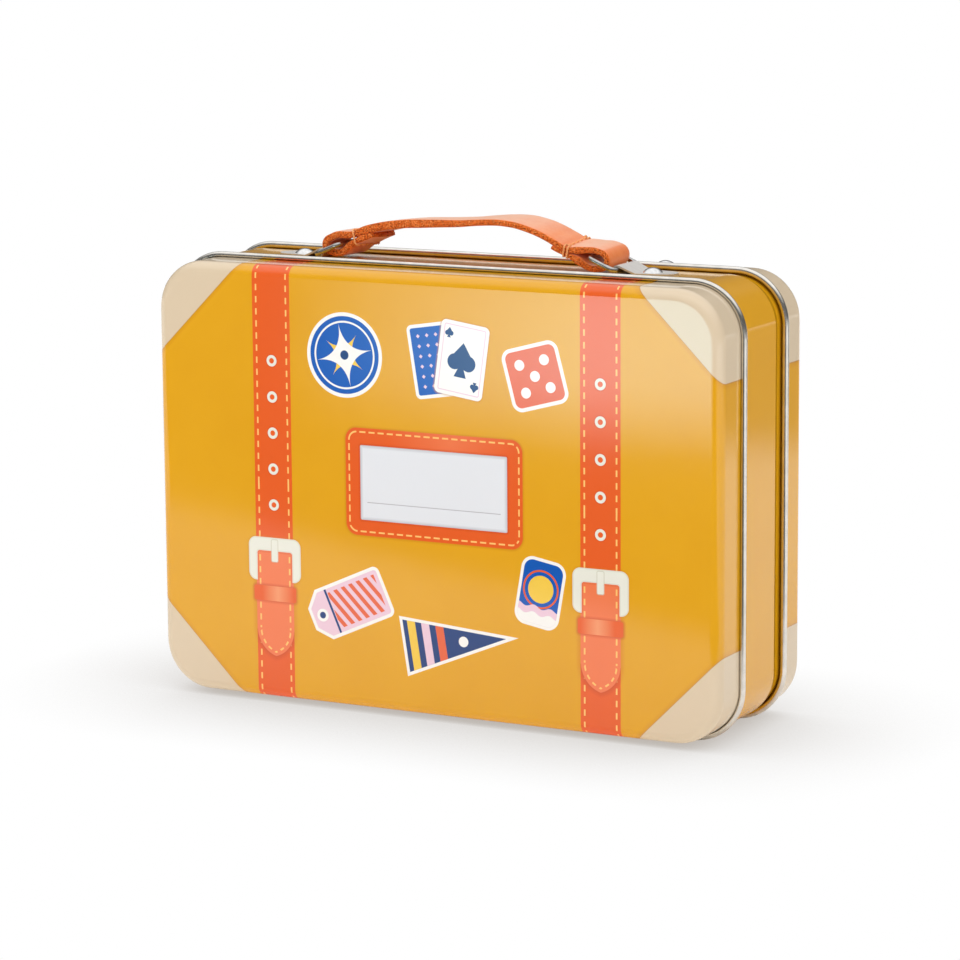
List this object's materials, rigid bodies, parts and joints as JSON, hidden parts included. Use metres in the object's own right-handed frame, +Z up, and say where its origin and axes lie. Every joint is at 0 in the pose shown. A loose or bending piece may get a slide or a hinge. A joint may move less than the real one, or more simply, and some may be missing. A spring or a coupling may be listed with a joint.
{
  "type": "card game tin with hinged lid",
  "caption": "Suitcase-shaped printed tin for a card game, with a hinged front lid, curled rims and a leather carrying handle on wire rings.",
  "frame": {"origin": "under the middle of the tin, at the height that the curled rims stand on", "axes": "+X along the width to the right, +Y from the front face to the rear face, +Z up"},
  "size_m": [0.2034, 0.0624, 0.1581],
  "materials": {
    "printed_tinplate": "glossy print on tinplate",
    "nickel_plate": "satin nickel",
    "steel_wire": "bright",
    "coral_leather": "smooth, soft sheen",
    "gold_thread": "twisted thread"
  },
  "bodies": {
    "case": {"body_band": "printed_tinplate", "rear_cover": "printed_tinplate", "rear_cover_rivets": "nickel_plate", "band_hinge_leaf_left": "nickel_plate", "band_hinge_leaf_right": "nickel_plate", "band_hinge_rivets": "nickel_plate", "hinge_pin_left": "steel_wire", "hinge_pin_right": "steel_wire", "hanger_left": "nickel_plate", "hanger_right": "nickel_plate", "hanger_rivets": "nickel_plate", "hanger_washers": "nickel_plate"},
    "lid": {"lid_cover": "printed_tinplate", "lid_hinge_leaf_left": "nickel_plate", "lid_hinge_leaf_right": "nickel_plate", "lid_hinge_rivets": "nickel_plate"},
    "handle": {"handle_strap": "coral_leather", "handle_stitch_left": "gold_thread", "handle_stitch_right": "gold_thread"},
    "left_ring": {"ring_left": "steel_wire"},
    "right_ring": {"ring_right": "steel_wire"}
  },
  "joints": [
    {"name": "lid_hinge", "type": "hinge", "parent": "case", "child": "lid", "pos_m": [0, -0.0137, 0.0013], "axis": [1, 0, 0], "range_deg": [0, 105]},
    {"name": "handle_lift", "type": "slide", "parent": "case", "child": "handle", "axis": [0, 0, 1], "range_m": [0, 0.003]},
    {"name": "ring_left_swing", "type": "hinge", "parent": "case", "child": "left_ring", "pos_m": [-0.0534, 0, 0.1442], "axis": [0, -1, 0], "range_deg": [0, 23]},
    {"name": "ring_right_swing", "type": "hinge", "parent": "case", "child": "right_ring", "pos_m": [0.0534, 0, 0.1442], "axis": [0, 1, 0], "range_deg": [0, 23]}
  ],
  "couplings": [
    {"joint": "ring_left_swing", "follows": "handle_lift", "rad_per_m": 130.9},
    {"joint": "ring_right_swing", "follows": "handle_lift", "rad_per_m": 130.9}
  ]
}
